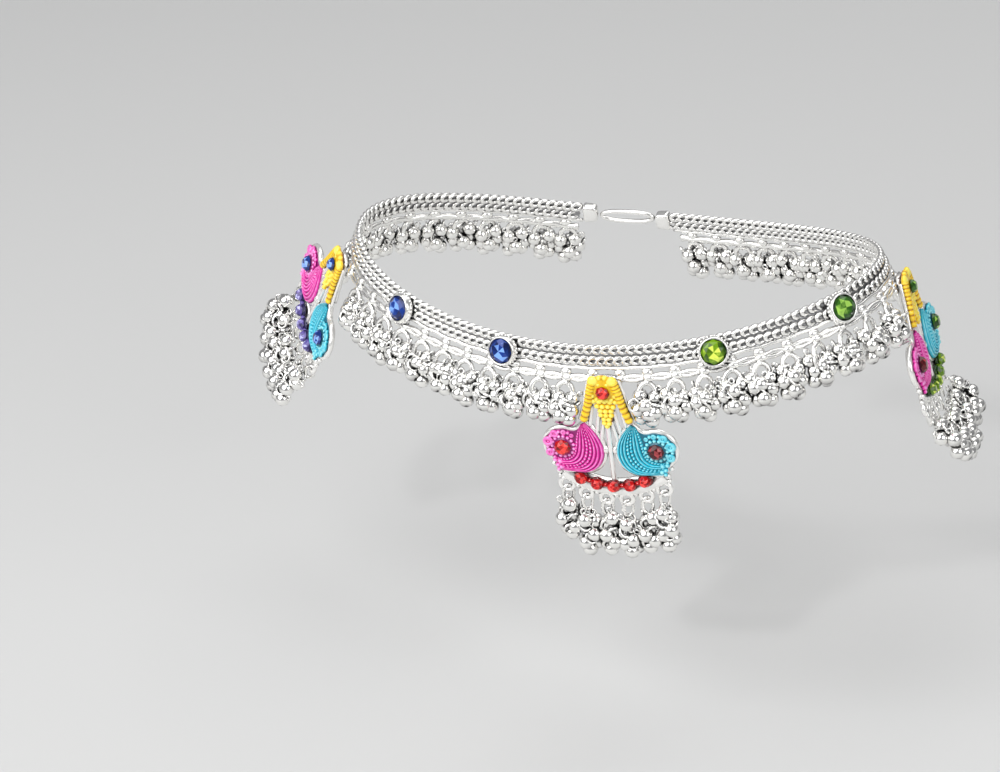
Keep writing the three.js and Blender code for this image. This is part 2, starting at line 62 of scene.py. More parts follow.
angleTable = np.linspace(0, tau, 1441)
chords = np.linalg.norm(np.diff(loopPoint(angleTable), axis=0), axis=1)
arcTable = np.concatenate([[0], np.cumsum(chords)])
loopLength = arcTable[-1]
quarter = loopLength / 4
cell = quarter / loop["cellsInQuarter"]
frontArc = np.interp(np.radians(loop["frontAngle"] + 360), angleTable, arcTable)


def angleAt(arc):  # the loop's angle at arc lengths from the front pendant
    return np.interp((np.atleast_1d(arc) + frontArc) % loopLength, arcTable, angleTable)


def flareAt(angle):  # side + (end - side) cos^2 t, in radians
    end = np.where(np.cos(angle) > 0, loop["flareHeel"], loop["flareToe"])
    return np.radians(loop["flareSide"] + (end - loop["flareSide"]) * np.cos(angle) ** 2)


def seatsAt(arc, lean=None):  # origins and (along, up, out) axes, leaning out by the flare or by lean
    angle = angleAt(arc)
    outward = np.stack([loop["wide"] * np.cos(angle), loop["long"] * np.sin(angle), 0 * angle], -1)
    outward /= np.linalg.norm(outward, axis=-1, keepdims=True)
    along = np.stack([-outward[:, 1], outward[:, 0], 0 * angle], -1)
    flare = flareAt(angle) if lean is None else 0 * angle + np.radians(lean)
    sine, cosine = np.sin(flare)[:, None], np.cos(flare)[:, None]
    level = np.array([0, 0, 1.0])
    axes = np.stack([along, level * cosine - outward * sine, outward * cosine + level * sine], 1)
    return loopPoint(angle), axes


def onLoop(arc, up, out):  # p = loop(arc) + up * upAxis + out * outAxis
    origin, axes = seatsAt(arc)
    up, out = np.broadcast_arrays(np.asarray(up, float), np.asarray(out, float))
    return origin + up[..., None] * axes[:, 1] + out[..., None] * axes[:, 2]


# shapes are (corners, four-cornered faces, rise), rise being 0 in a hollow and 1 on a ridge; the finishes
# paint shade where it is low, and the enamel a highlight where it is high

def gridShape(points, closeU=False, rise=None):  # corner (i, j) joins (i+1, j+1), and j goes round
    rows, columns = points.shape[:2]
    i, j = np.meshgrid(np.arange(rows if closeU else rows - 1), np.arange(columns), indexing="ij")
    down, across = (i + 1) % rows, (j + 1) % columns
    faces = np.stack([
        i * columns + j, i * columns + across, down * columns + across, down * columns + j,
    ], -1)
    rise = np.ones((rows, columns)) if rise is None else np.broadcast_to(rise, (rows, columns))
    return points.reshape(-1, 3), faces.reshape(-1, 4), rise.reshape(-1)


def joined(shapes):
    starts = np.cumsum([0] + [len(shape[0]) for shape in shapes[:-1]])
    corners = np.concatenate([shape[0] for shape in shapes])
    faces = np.concatenate([shape[1] + start for shape, start in zip(shapes, starts)])
    return corners, faces, np.concatenate([shape[2] for shape in shapes])


def stamped(shape, origins, axes):  # a copy per seat: corner = origin + x along + y up + z out
    corners, faces, rise = shape
    count = len(origins)
    copies = origins[:, None, :] + np.einsum("vk,nkj->nvj", corners, axes)
    copyFaces = faces[None] + (np.arange(count) * len(corners))[:, None, None]
    return copies.reshape(-1, 3), copyFaces.reshape(-1, 4), np.tile(rise, count)


def moved(shape, offset=(0, 0, 0), turn=None, scale=1.0):  # corner = turn (scale corner) + offset
    corners = shape[0] * np.asarray(scale)
    if turn is not None:
        corners = corners @ np.asarray(turn).T
    return corners + np.asarray(offset, float), shape[1], shape[2]


def turnAbout(axis, degrees):  # one turn as a 3 by 3 matrix
    return np.array(Matrix.Rotation(np.radians(degrees), 3, axis))


def tube(path, radius, sides=8, closed=False, flat=1.0, rise=None):
    # corner = path + r (cos a across + flat sin a normal), across square to the path and the z axis
    path = np.asarray(path, float)
    if closed:
        forward = np.roll(path, -1, 0) - np.roll(path, 1, 0)
    else:
        forward = np.gradient(path, axis=0)
    forward /= np.linalg.norm(forward, axis=1, keepdims=True)
    across = np.cross((0.0, 0.0, 1.0), forward)
    across /= np.linalg.norm(across, axis=1, keepdims=True)
    normal = np.cross(forward, across)
    radius = np.broadcast_to(np.asarray(radius, float), (len(path),))
    turns = (np.arange(sides) / sides * tau)[None, :, None]
    ring = np.cos(turns) * across[:, None] + flat * np.sin(turns) * normal[:, None]
    points = path[:, None] + radius[:, None, None] * ring
    if not closed:  # the ends close on the path's end points
        first = np.repeat(path[:1, None], sides, 1)
        last = np.repeat(path[-1:, None], sides, 1)
        points = np.concatenate([first, points, last])
        if rise is not None:
            rise = np.concatenate([rise[:1], rise, rise[-1:]])
    if rise is not None:
        rise = np.asarray(rise)[:, None]
    return gridShape(points, closeU=closed, rise=rise)


def ball(centre, radius, sides=10, rows=6, stretch=(1, 1, 1), rise=None):
    # (r sin p cos a, r sin p sin a, r cos p), poles along the out axis; rise is (foot's, top's), for painted
    # shade at the foot and painted light at the top
    p = np.linspace(0, np.pi, rows + 1)[::-1, None]
    a = (np.arange(sides) / sides * tau)[None]
    points = np.stack([np.sin(p) * np.cos(a), np.sin(p) * np.sin(a), np.cos(p) + 0 * a], -1)
    if rise is not None:
        rise = rise[0] + (rise[1] - rise[0]) * (0.5 + 0.5 * np.cos(p)) + 0 * a
    return gridShape(np.asarray(centre, float) + radius * points * stretch, rise=rise)


def oval(halfLong, halfTall, steps):  # a closed path (l cos a, t sin a, 0)
    a = np.arange(steps) / steps * tau
    return np.stack([halfLong * np.cos(a), halfTall * np.sin(a), 0 * a], -1)


def ringOf(halfWide, halfTall, steps, wire, sides=6):  # a closed oval of wire
    return tube(oval(halfWide, halfTall, steps), wire, sides=sides, closed=True)


def curve(points, steps=24):  # a smooth path through the points, Catmull-Rom
    p = np.asarray(points, float)
    p = np.concatenate([[2 * p[0] - p[1]], p, [2 * p[-1] - p[-2]]])
    t = np.linspace(0, len(p) - 3 - 1e-9, steps)
    i = t.astype(int)
    f = (t - i)[:, None]
    a, b, c, d = p[i], p[i + 1], p[i + 2], p[i + 3]
    square, cube = 2 * a - 5 * b + 4 * c - d, 3 * b - a - 3 * c + d
    return 0.5 * (2 * b + (c - a) * f + square * f**2 + cube * f**3)


def raised(path, height):  # a flat path lifted to one height
    return np.column_stack([path, np.full(len(path), height)])


def capped(rings):  # a stack of rings whose two ends close on the ends' middles
    middle = rings.mean(1, keepdims=True)
    first = np.repeat(middle[:1], rings.shape[1], 1)
    last = np.repeat(middle[-1:], rings.shape[1], 1)
    return np.concatenate([first, rings, last])


def addPiece(name, shape, material, nodes, smooth=True):
    corners, faces, rise = shape
    mesh = bpy.data.meshes.new(name)
    mesh.from_pydata((corners * mm).tolist(), [], faces.tolist())
    domain = "FACE" if len(rise) == len(faces) else "POINT"  # gems have a painted shade for each facet
    mesh.attributes.new("rise", "FLOAT", domain).data.foreach_set("value", rise.astype(np.float32))
    cleaned = bmesh.new()
    cleaned.from_mesh(mesh)
    bmesh.ops.remove_doubles(cleaned, verts=cleaned.verts, dist=2e-7)  # closes poles
    bmesh.ops.recalc_face_normals(cleaned, faces=cleaned.faces)
    cleaned.to_mesh(mesh)
    cleaned.free()
    mesh.polygons.foreach_set("use_smooth", np.full(len(mesh.polygons), smooth))
    mesh.materials.append(material)
    piece = bpy.data.objects.new(name, mesh)
    bpy.context.scene.collection.objects.link(piece)
    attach(piece, "root")
    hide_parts(*nodes)


# materials

class Wire:  # a socket that adds Math nodes when it meets an operator
    def __init__(self, tree, socket):
        self.tree = tree
        self.socket = socket

    def maths(self, operation, a, b):
        node = self.tree.nodes.new("ShaderNodeMath")
        node.operation = operation
        for slot, value in zip(node.inputs, (a, b)):
            if isinstance(value, Wire):
                self.tree.links.new(value.socket, slot)
            else:
                slot.default_value = value
        return Wire(self.tree, node.outputs[0])

    def __add__(self, other):
        return self.maths("ADD", self, other)

    def __radd__(self, other):
        return self.maths("ADD", other, self)

    def __sub__(self, other):
        return self.maths("SUBTRACT", self, other)

    def __rsub__(self, other):
        return self.maths("SUBTRACT", other, self)

    def __mul__(self, other):
        return self.maths("MULTIPLY", self, other)

    def __rmul__(self, other):
        return self.maths("MULTIPLY", other, self)


class Finish:  # one material, its shader and the few node helpers that the finishes share
    def __init__(self, name, **constants):
        self.material = bpy.data.materials.new(name)
        self.material.use_nodes = True
        self.tree = self.material.node_tree
        self.shader = self.tree.nodes["Principled BSDF"]
        for socketName, value in constants.items():
            self.shader.inputs[socketName.replace("_", " ")].default_value = value

    def node(self, kind, settings=None, **inputs):  # _6=value sets the socket of that number
        made = self.tree.nodes.new(kind)
        for key, value in (settings or {}).items():
            setattr(made, key, value)
        for key, value in inputs.items():
            slot = made.inputs[int(key[1:]) if key[0] == "_" else key]
            if isinstance(value, Wire):
                self.tree.links.new(value.socket, slot)
            else:
                slot.default_value = value
        return [Wire(self.tree, socket) for socket in made.outputs]

    def noise(self, scale, detail):  # on the piece's own coordinates, in metres
        place = self.node("ShaderNodeTexCoord")[3]
        return self.node("ShaderNodeTexNoise", None, Vector=place, Scale=scale, Detail=detail)[0]

    def rise(self):
        return self.node("ShaderNodeAttribute", {"attribute_name": "rise"})[2]

    def between(self, value, low, high, most=1.0):  # 0 up to low, most from high on
        return self.node("ShaderNodeMapRange", None, _0=value, _1=low, _2=high, _3=0.0, _4=most)[0]

    def blended(self, share, low, high):  # low where share is 0, high where it is 1
        return self.node("ShaderNodeMix", {"data_type": "RGBA"}, _0=share, _6=low, _7=high)[2]

    def link(self, socketName, wire):
        self.tree.links.new(wire.socket, self.shader.inputs[socketName])

    def bump(self, height, distance, strength):
        made = self.node("ShaderNodeBump", None, Height=height, Distance=distance, Strength=strength)
        self.link("Normal", made[0])


silverLook = {
    "bright": (0.985, 0.975, 0.95, 1), "dark": (0.07, 0.07, 0.073, 1),
    "reach": 1.3,  # how near a wall has to be for the painted shade of a hollow
    "darkUnder": 0.26, "brightOver": 0.66, "rough": 0.17, "grain": 0.12, "metal": 1.0,
}
enamelLook = {
    "recessTo": 0.22, "bodyFrom": 0.62, "bodyTo": 1.0, "paleFrom": 1.32, "paleMost": 0.8,
    "rough": 0.22, "grain": 0.2,
}
stoneLook = {"deepTo": 0.2, "bodyFrom": 0.75, "bodyTo": 1.0, "flashFrom": 1.15}


def silverFinish(name, **changes):  # bright metal, with shade painted into its hollows and wherever the rise is low
    look = {**silverLook, **changes}
    finish = Finish(name, Metallic=look["metal"])
    grain = finish.noise(900, 4)
    nearby = finish.node("ShaderNodeAmbientOcclusion", {"samples": 6}, Distance=look["reach"] * mm)[1]
    # painted shade: ambient occlusion times the rise blends the bright colour towards the dark one
    share = finish.between(nearby, look["darkUnder"], look["brightOver"]) * finish.rise()
    finish.link("Base Color", finish.blended(share, look["dark"], look["bright"]))
    finish.link("Roughness", look["rough"] + look["grain"] * grain)
    finish.bump(finish.noise(2600, 2), 0.02 * mm, 0.25)
    return finish.material


def enamelFinish(name, color, shadeColor, highlightColor):  # glossy, with painted shade between the ridges and a painted highlight on their tops
    finish = Finish(name, Metallic=0.0, IOR=1.5, Coat_Weight=0.4, Coat_Roughness=0.06)
    mottle = finish.noise(1400, 3)
    rise = finish.rise()
    # painted shade where the rise is low, and a painted highlight where it is high
    body = finish.between(rise + 0.3 * mottle - 0.15, enamelLook["recessTo"], enamelLook["bodyFrom"])
    top = finish.between(rise + 0.5 * mottle, enamelLook["bodyTo"], enamelLook["paleFrom"],
                         enamelLook["paleMost"])
    finish.link("Base Color", finish.blended(top, finish.blended(body, shadeColor, color), highlightColor))
    finish.link("Roughness", enamelLook["rough"] + enamelLook["grain"] * mottle)
    finish.bump(finish.noise(1800, 3), 0.04 * mm, 0.35)
    return finish.material


def stoneFinish(name, color, deep, flash):  # foiled glass, each facet with its own share of painted shade and painted reflection (the flash)
    finish = Finish(name, Metallic=0.0, Roughness=0.06, IOR=1.45, Coat_Weight=0.2, Coat_Roughness=0.03)
    facet = finish.rise()
    cloud = finish.noise(900, 3)
    # painted shade on the darker facets and painted reflection on the lightest
    body = finish.between(facet + 0.5 * cloud - 0.25, stoneLook["deepTo"], stoneLook["bodyFrom"])
    spark = finish.between(facet + 0.4 * cloud, stoneLook["bodyTo"], stoneLook["flashFrom"])
    finish.link("Base Color", finish.blended(spark, finish.blended(body, deep, color), flash))
    return finish.material


silver = silverFinish("polished_silver", metal=0.9)
# the bells' painted shade is darker and reaches further
bellSilver = silverFinish("bell_silver", dark=(0.025, 0.025, 0.027, 1), reach=1.6, rough=0.12)
plateSilver = silverFinish("plate_silver", reach=0.7, metal=0.72)
# painted shade: a dim silver for the sheet that darkens the gaps in the band
shadeSheetSilver = silverFinish(
    "shaded_silver", bright=(0.34, 0.34, 0.345, 1), dark=(0.03, 0.03, 0.03, 1), rough=0.4)
enamelColors = {  # body, painted shade for the hollows and painted highlight for the tops
    "yellow": ((1.0, 0.64, 0.0, 1), (0.42, 0.13, 0.002, 1), (1.0, 0.95, 0.18, 1)),
    "pink": ((0.84, 0.012, 0.40, 1), (0.26, 0.003, 0.14, 1), (1.0, 0.50, 0.92, 1)),
    "turquoise": ((0.0, 0.50, 0.68, 1), (0.0, 0.13, 0.20, 1), (0.45, 0.98, 1.0, 1)),
}
enamels = {name: enamelFinish(name + "_enamel", *colors) for name, colors in enamelColors.items()}
stoneColors = {  # the record's slot, then body, painted shade and painted reflection
    "red": ("red_stone", (0.56, 0.003, 0.004, 1), (0.10, 0.0, 0.001, 1), (0.95, 0.06, 0.05, 1)),
    "darkRed": ("dark_red_stone", (0.11, 0.006, 0.010, 1), (0.018, 0.001, 0.002, 1), (0.42, 0.05, 0.06, 1)),
    "blue": ("blue_stone", (0.012, 0.045, 0.27, 1), (0.002, 0.006, 0.045, 1), (0.22, 0.42, 0.95, 1)),
    "violet": ("violet_stone", (0.16, 0.12, 0.42, 1), (0.02, 0.015, 0.08, 1), (0.6, 0.6, 1.0, 1)),
    "brightGreen": ("green_stone", (0.16, 0.32, 0.008, 1), (0.010, 0.045, 0.003, 1), (0.75, 0.90, 0.12, 1)),
    "green": ("green_stone", (0.035, 0.14, 0.010, 1), (0.006, 0.025, 0.003, 1), (0.35, 0.62, 0.10, 1)),
}
stones = {
    name: (stoneFinish(name + "_stone", *colors), slotName)
    for name, (slotName, *colors) in stoneColors.items()
}
print("materials made")

# the band: two rows of curb links over a thin rail

closing = {
    "gap": 0.25, "capLong": 3.0, "capHalf": 1.1, "capTall": 1.8, "capTaper": 0.2,
    "claspHalf": 5.5, "claspTall": 1.15, "claspWire": 0.45,
}
band = {
    "pitch": 1.6, "halfLong": 0.92, "halfTall": 0.61, "wire": 0.43, "tilt": 19, "roll": 12,
    "row": 0.99, "stagger": 0.05, "endRoom": 0.9,
    "railDown": 2.3, "railWire": 0.36, "railWave": 0.09, "railOut": 0.1,
    "coreTall": 1.45, "coreHalf": 0.1, "coreRoom": 0.6,
}
bandEnd = loopLength / 2 - closing["claspHalf"] - closing["capLong"] - 2 * closing["gap"]
linkCount = int(2 * bandEnd / band["pitch"])
linkArcs = np.linspace(-bandEnd + band["endRoom"], bandEnd - band["endRoom"], linkCount)


def curbRow(up, out, phase):  # one link, rolled and tilted into its neighbours, at every pitch
    link = ringOf(band["halfLong"], band["halfTall"], 12, band["wire"])
    link = moved(link, turn=turnAbout("X", band["roll"]) @ turnAbout("Y", band["tilt"]))
    origin, axes = seatsAt(linkArcs + phase)
    return stamped(link, origin + up * axes[:, 1] + out * axes[:, 2], axes)


def bandShadeSheet():
    # a thin leaf of painted shade between the faces of the two link rows, which darkens the gaps between the
    # links: four corners (arc, up, out) all along
    arcs = np.linspace(-bandEnd + band["coreRoom"], bandEnd - band["coreRoom"], 160)
    ups = np.array([-1, 1, 1, -1]) * band["coreTall"]
    outs = np.array([1, 1, -1, -1]) * band["coreHalf"]
    return gridShape(capped(np.stack([onLoop(arcs, up, out) for up, out in zip(ups, outs)], 1)))


railArcs = np.linspace(-bandEnd, bandEnd, 420)
railUp = -band["railDown"] + band["railWave"] * np.cos((railArcs / cell) * tau)
rail = tube(onLoop(railArcs, railUp, band["railOut"]), band["railWire"], sides=7)
rows = [curbRow(band["row"], 0, 0), curbRow(-band["row"], band["stagger"], band["pitch"] / 2)]
addPiece("band_rows", joined(rows), silver, ["band_chain"])
# a dark sheet inside the band, painting shade into the gaps between the links
addPiece("band_core", bandShadeSheet(), shadeSheetSilver, ["band_chain"], smooth=False)
addPiece("band_rail", rail, silver, ["band_chain"])
print("band:", 2 * linkCount, "links")

# the gallery and the fringe, one stretch at a time

gallery = {
    "top": 2.85, "tall": 2.5, "wave": 3.95, "swing": 0.16, "endRoom": 0.12,
    "wire": 0.52, "wireOut": 0.1, "thin": 0.4, "thinDown": 0.45, "thinOut": 0.3, "knot": 0.85,
    # a knot's balls: place across, above and out of the wave, and stretch
    "knotBalls": [
        ((0, 0.72, 0.15), (1.35, 0.95, 0.8)),
        ((0.3, -0.2, 0.4), (1.5, 0.8, 0.75)),
        ((-0.1, -1.05, 0.35), (0.8, 0.8, 0.75)),
    ],
    "crownHalf": 5.1,  # no bunch hangs behind a pendant's crown
}
fringe = {
    "ringHalf": 1.5, "ringTall": 2.0, "ringWire": 0.5, "ringDown": 0.95, "ringOut": 0.5, "ringTurn": 14,
    "swing": 9, "hang": 1.1,
    "loose": 3, "looseHalf": 0.95, "looseTall": 1.15, "looseWire": 0.27, "looseJog": 0.4,
    "looseApart": 1.25, "looseDown": 3.6, "looseStep": 0.8, "looseOut": 1.5,
}
pendantArcs = np.array([0, -quarter, quarter - cell])
galleryMiddle = gallery["top"] + gallery["tall"] / 2
bell = {
    "radius": 1.42, "sides": 10, "rows": 7, "eye": 0.5, "eyeWire": 0.2, "eyeUp": 0.75,
    # the belt, the slit and the painted shade on the underside lie this many radians down from the eye; the
    # slit is darkened with painted shade as well
    "belt": 0.07, "beltAt": 1.62, "beltSpread": 0.16,
    "slit": 0.28, "slitAt": 2.75, "slitSpread": 0.45, "slitWide": 0.25, "slitDark": 0.85,
    "dull": 0.55, "dullFrom": 1.75, "dullOver": 0.9,
    "sway": 0.5, "spread": 0.35,
}


def bellShape(radius):
    # a ball with a raised belt and a slit pressed in under it, an eye on top; y is up
    p = np.linspace(0, np.pi, bell["rows"] + 1)[:, None]
    a = (np.arange(bell["sides"]) / bell["sides"] * tau)[None]
    belt = np.exp(-(((p - bell["beltAt"]) / bell["beltSpread"]) ** 2))
    slit = np.exp(-((np.sin(a) / bell["slitWide"]) ** 2))
    slit = slit * np.exp(-(((p - bell["slitAt"]) / bell["slitSpread"]) ** 2))
    r = radius * (1 + bell["belt"] * belt - bell["slit"] * slit)
    points = np.stack([r * np.sin(p) * np.cos(a), r * np.cos(p), r * np.sin(p) * np.sin(a)], -1)
    # painted shade: the rise falls on the underside and in the slit, and the bell silver darkens it there
    under = np.clip((p - bell["dullFrom"]) / bell["dullOver"], 0, 1)
    body = gridShape(points, rise=(1 - bell["dull"] * under) * (1 - bell["slitDark"] * slit))
    eye = ringOf(bell["eye"], bell["eye"], 8, bell["eyeWire"], sides=5)
    return joined([body, moved(eye, (0, radius + bell["eye"] * bell["eyeUp"], 0))])


# where a bunch's bells hang under its ring: across, down and out of the knot
bunchBells = np.array([
    (-1.45, 2.7, 0.3), (1.45, 2.9, 0.2), (0.0, 3.5, 1.2), (-1.5, 4.5, 0.8), (1.5, 4.8, 0.7),
    (0.0, 5.0, -0.6), (-1.0, 6.3, 0.1), (1.0, 6.6, 0.5), (0.0, 6.0, 1.5),
])


def swungAxes(axes, turns, first, second):  # the axes turned about the one that is left, in radians
    c, s = np.cos(turns)[:, None], np.sin(turns)[:, None]
    swung = axes.copy()
    swung[:, first] = c * axes[:, first] + s * axes[:, second]
    swung[:, second] = c * axes[:, second] - s * axes[:, first]
    return swung


def bellBunch(origin, axes, bells, size=1.0, stir=0.2):
    # each seat gets the same few places, jogged and turned a little by chance
    whole = []
    for place in bells:
        jog = rng.normal(0, stir, (len(origin), 3))
        offset = (place * (1, -1, 1))[None] + jog
        spots = origin + np.einsum("nk,nkj->nj", offset, axes)
        sways = rng.uniform(-bell["sway"], bell["sway"], len(origin)) - bell["spread"] * place[0]
        spins = rng.uniform(0, tau, len(origin))
        spun = swungAxes(swungAxes(axes, sways, 0, 1), spins, 0, 2)
        whole.append(stamped(bellShape(bell["radius"] * size), spots, spun))
    return joined(whole)


def galleryStretch(start, cells):
    # a thick wire and a thinner one wave in opposite ways under the rail, once a cell, and a knot at
    # each crossing holds them to the rail, which leaves the slots: up = level + wave cos(tau arc / cell)
    arcs = start + np.linspace(gallery["endRoom"], cells * cell - gallery["endRoom"], cells * 16)
    wave = gallery["swing"] * np.cos((arcs - start) / cell * tau)
    level = -gallery["wave"]
    thick = tube(onLoop(arcs, level + wave, gallery["wireOut"]), gallery["wire"])
    thinPath = onLoop(arcs, level - gallery["thinDown"] - wave, gallery["thinOut"])
    thin = tube(thinPath, gallery["thin"], sides=6)
    knot = joined([
        ball((across, level + up, out), gallery["knot"], 10, 6, stretch)
        for (across, up, out), stretch in gallery["knotBalls"]
    ])
    return joined([thick, thin, stamped(knot, *seatsAt(start + (np.arange(cells) + 0.5) * cell))])


def fringeStretch(name, start, cells):
    node = ["fringe_" + name]
    addPiece("gallery_" + name, galleryStretch(start, cells), silver, node)
    knots = start + (np.arange(cells) + 0.5) * cell
    covered = np.abs(knots[:, None] - pendantArcs[None]).min(1) < gallery["crownHalf"]
    knots = knots[~covered]
    origin, axes = seatsAt(knots)
    ringMiddle = -galleryMiddle - fringe["ringDown"] - fringe["ringTall"]
    ring = moved(ringOf(fringe["ringHalf"], fringe["ringTall"], 16, fringe["ringWire"]),
                 (0, ringMiddle, fringe["ringOut"]), turn=turnAbout("Y", fringe["ringTurn"]))
    swung = swungAxes(axes, np.radians(rng.normal(0, fringe["swing"], len(knots))), 0, 2)
    hung = origin - (galleryMiddle + fringe["hang"]) * axes[:, 1]
    rings = [stamped(ring, origin, swung)]
    small = ringOf(fringe["looseHalf"], fringe["looseTall"], 10, fringe["looseWire"], sides=5)
    for i in range(fringe["loose"]):
        turned = moved(small, turn=turnAbout("Z", 40 * i) @ turnAbout("Y", 25 + 35 * i))
        middle = ((i - 1) * fringe["looseApart"], -fringe["looseDown"] - fringe["looseStep"] * (i % 2),
                  fringe["looseOut"])
        jog = rng.normal(0, fringe["looseJog"], (len(knots), 3)) + middle
        rings.append(stamped(turned, hung + np.einsum("nk,nkj->nj", jog, axes), swung))
    addPiece("rings_" + name, joined(rings), silver, node)
    addPiece("bells_" + name, bellBunch(hung, axes, bunchBells), bellSilver, node)
    return len(knots)


backCells = int((bandEnd - quarter) / cell)
bunches = fringeStretch("front_left", -quarter, loop["cellsInQuarter"])
bunches += fringeStretch("front_right", 0, loop["cellsInQuarter"])
bunches += fringeStretch("back_right", quarter, backCells)
bunches += fringeStretch("back_left", -quarter - backCells * cell, backCells)
print("fringe:", bunches, "bunches")

# stones on the band

collet = {
    "stone": 2.3, "stoneTall": 0.85, "stoneUp": 1.2, "inner": 2.42, "outer": 2.85, "lip": 1.35, "back": -0.55,
    "beads": 26, "bead": 0.24, "beadUp": 0.32, "up": -0.95, "out": 0.85,
}
# a cut stone from its back to its table: share of the radius, share of the height, turn in facets
gemCut = [
    (0.02, -0.75, 0), (0.55, -0.4, 0.5), (1.0, -0.06, 0), (1.0, 0.08, 0), (0.84, 0.5, 0.5),
    (0.56, 0.95, 0), (0, 1.0, 0),
]


def latheShape(profile, sides=32):  # (r cos a, r sin a, z) for each (r, z) of the profile
    profile = np.asarray(profile, float)
    a = (np.arange(sides) / sides * tau)[None]
    return gridShape(np.stack([
        profile[:, :1] * np.cos(a), profile[:, :1] * np.sin(a), profile[:, 1:] + 0 * a,
    ], -1))


def gemRing(radius, tall, sides, share, up, shift):  # one level of a stone's corners
    a = (np.arange(sides) + shift) / sides * tau
    return np.stack([share * radius * np.cos(a), share * radius * np.sin(a), 0 * a + up * tall], -1)


def gemShape(radius, tall, sides=8, seed=0):
    # rings of corners from the back to the table, every other crown ring turned half a facet; each
    # facet has a painted shade of its own in the rise, darker at the girdle and lighter on the crown
    shades = np.random.default_rng(seed)
    quads, rise = [], []
    for lower, upper in zip(gemCut[:-1], gemCut[1:]):
        low, high = gemRing(radius, tall, sides, *lower), gemRing(radius, tall, sides, *upper)
        lowNext, highNext = np.roll(low, -1, 0), np.roll(high, -1, 0)
        if lower[2] == upper[2]:
            made = [(low, lowNext, highNext, high)]
        elif upper[2] > lower[2]:  # the upper corner stands over the middle of the lower edge
            made = [(low, lowNext, high, high), (high, lowNext, highNext, highNext)]
        else:
            made = [(low, highNext, high, high), (low, lowNext, highNext, highNext)]
        lightest = np.interp(upper[1], [0, 0.1, 0.5, 1.0], [0.3, 0.3, 0.85, 1.1])
        for ring in made:
            quads.append(np.stack(ring, 1))
            rise.append(shades.uniform(0.25 * lightest, lightest, sides))
    quads = np.concatenate(quads)
    faces = np.arange(len(quads) * 4).reshape(-1, 4)
    return quads.reshape(-1, 3), faces, np.concatenate(rise)


def bandStone(name, arc, color):
    origin, axes = seatsAt([arc])
    seat = origin + collet["up"] * axes[:, 1] + collet["out"] * axes[:, 2]
    inner, outer, lip, foot = collet["inner"], collet["outer"], collet["lip"], collet["back"]
    cup = latheShape([
        (0, foot), (outer - 0.5, foot), (outer - 0.1, foot + 0.5), (outer, 0.25),
        (outer - 0.1, lip * 0.7), (outer - 0.2, lip), (inner, lip + 0.1),
        (inner - 0.12, lip - 0.05), (inner - 0.05, 0.6), (0, 0.45),
    ])
    spots = raised(oval(outer - 0.05, outer - 0.05, collet["beads"])[:, :2], collet["beadUp"])
    upright = np.repeat(np.eye(3)[None], len(spots), 0)
    setting = joined([cup, stamped(ball((0, 0, 0), collet["bead"], 8, 5), spots, upright)])
    addPiece("setting_" + name, stamped(setting, seat, axes), silver, ["collet_" + name])
    gem = moved(gemShape(collet["stone"], collet["stoneTall"], seed=int(abs(arc))), (0, 0, collet["stoneUp"]))
    material, slotName = stones[color]
    addPiece("gem_" + name, stamped(gem, seat, axes), material, ["stone_" + name], smooth=False)


bandStone("far_left", -43, "blue")
bandStone("near_left", -19.5, "blue")
bandStone("near_right", 19.5, "brightGreen")
bandStone("far_right", 43, "green")
print("band stones set")

# pendants, in a frame with x to the right, y up from the crown's top, z out

pendant = {
    "enamelBack": 1.05, "enamelTop": 2.15, "swagDown": 9, "swagRadius": 13.7, "combStep": 13,
    "lugRadius": 16.95, "lugUp": 0.5, "drops": 6, "ringDown": 1.0, "hang": 2.6, "stand": 0.3,
    "galleryFoot": 5.35, "galleryHalf": 0.45,
}
crown = {
    "legs": [(1.9, -1.2), (2.55, -3.4), (3.2, -6.0), (4.35, -9.4)], "legWire": 0.86, "ribs": 10,
    "dot": 1.02, "dotPlace": (1.75, -1.15), "shoulder": 0.72, "shoulderPlace": (2.5, -3.2),
    "stone": 1.33, "stoneTall": 0.9, "stoneUp": 1.15, "stonePlace": (0, -3.25),
    "dome": 2.75, "domeDown": 2.75, "archHalf": 62, "archWide": 2.35, "archTall": 2.3, "archRibs": 7,
    "bead": 0.48,  # the beads below and above the stone
    "beadPlaces": [
        (-1.35, -4.75), (-0.5, -4.95), (0.5, -4.95), (1.35, -4.75), (-1.95, -4.1), (1.95, -4.1),
        (-0.75, -1.75), (0.75, -1.75),
    ],
    # the middle tongue: rows of beads that narrow to its foot, as (beads, height)
    "tongue": [(5, -5.3), (4, -6.3), (3, -7.25), (3, -8.1), (2, -8.95), (2, -9.75), (1, -10.4)],
    "tongueBead": 0.58, "tongueTaper": 0.012, "spineDown": 7.4,
}
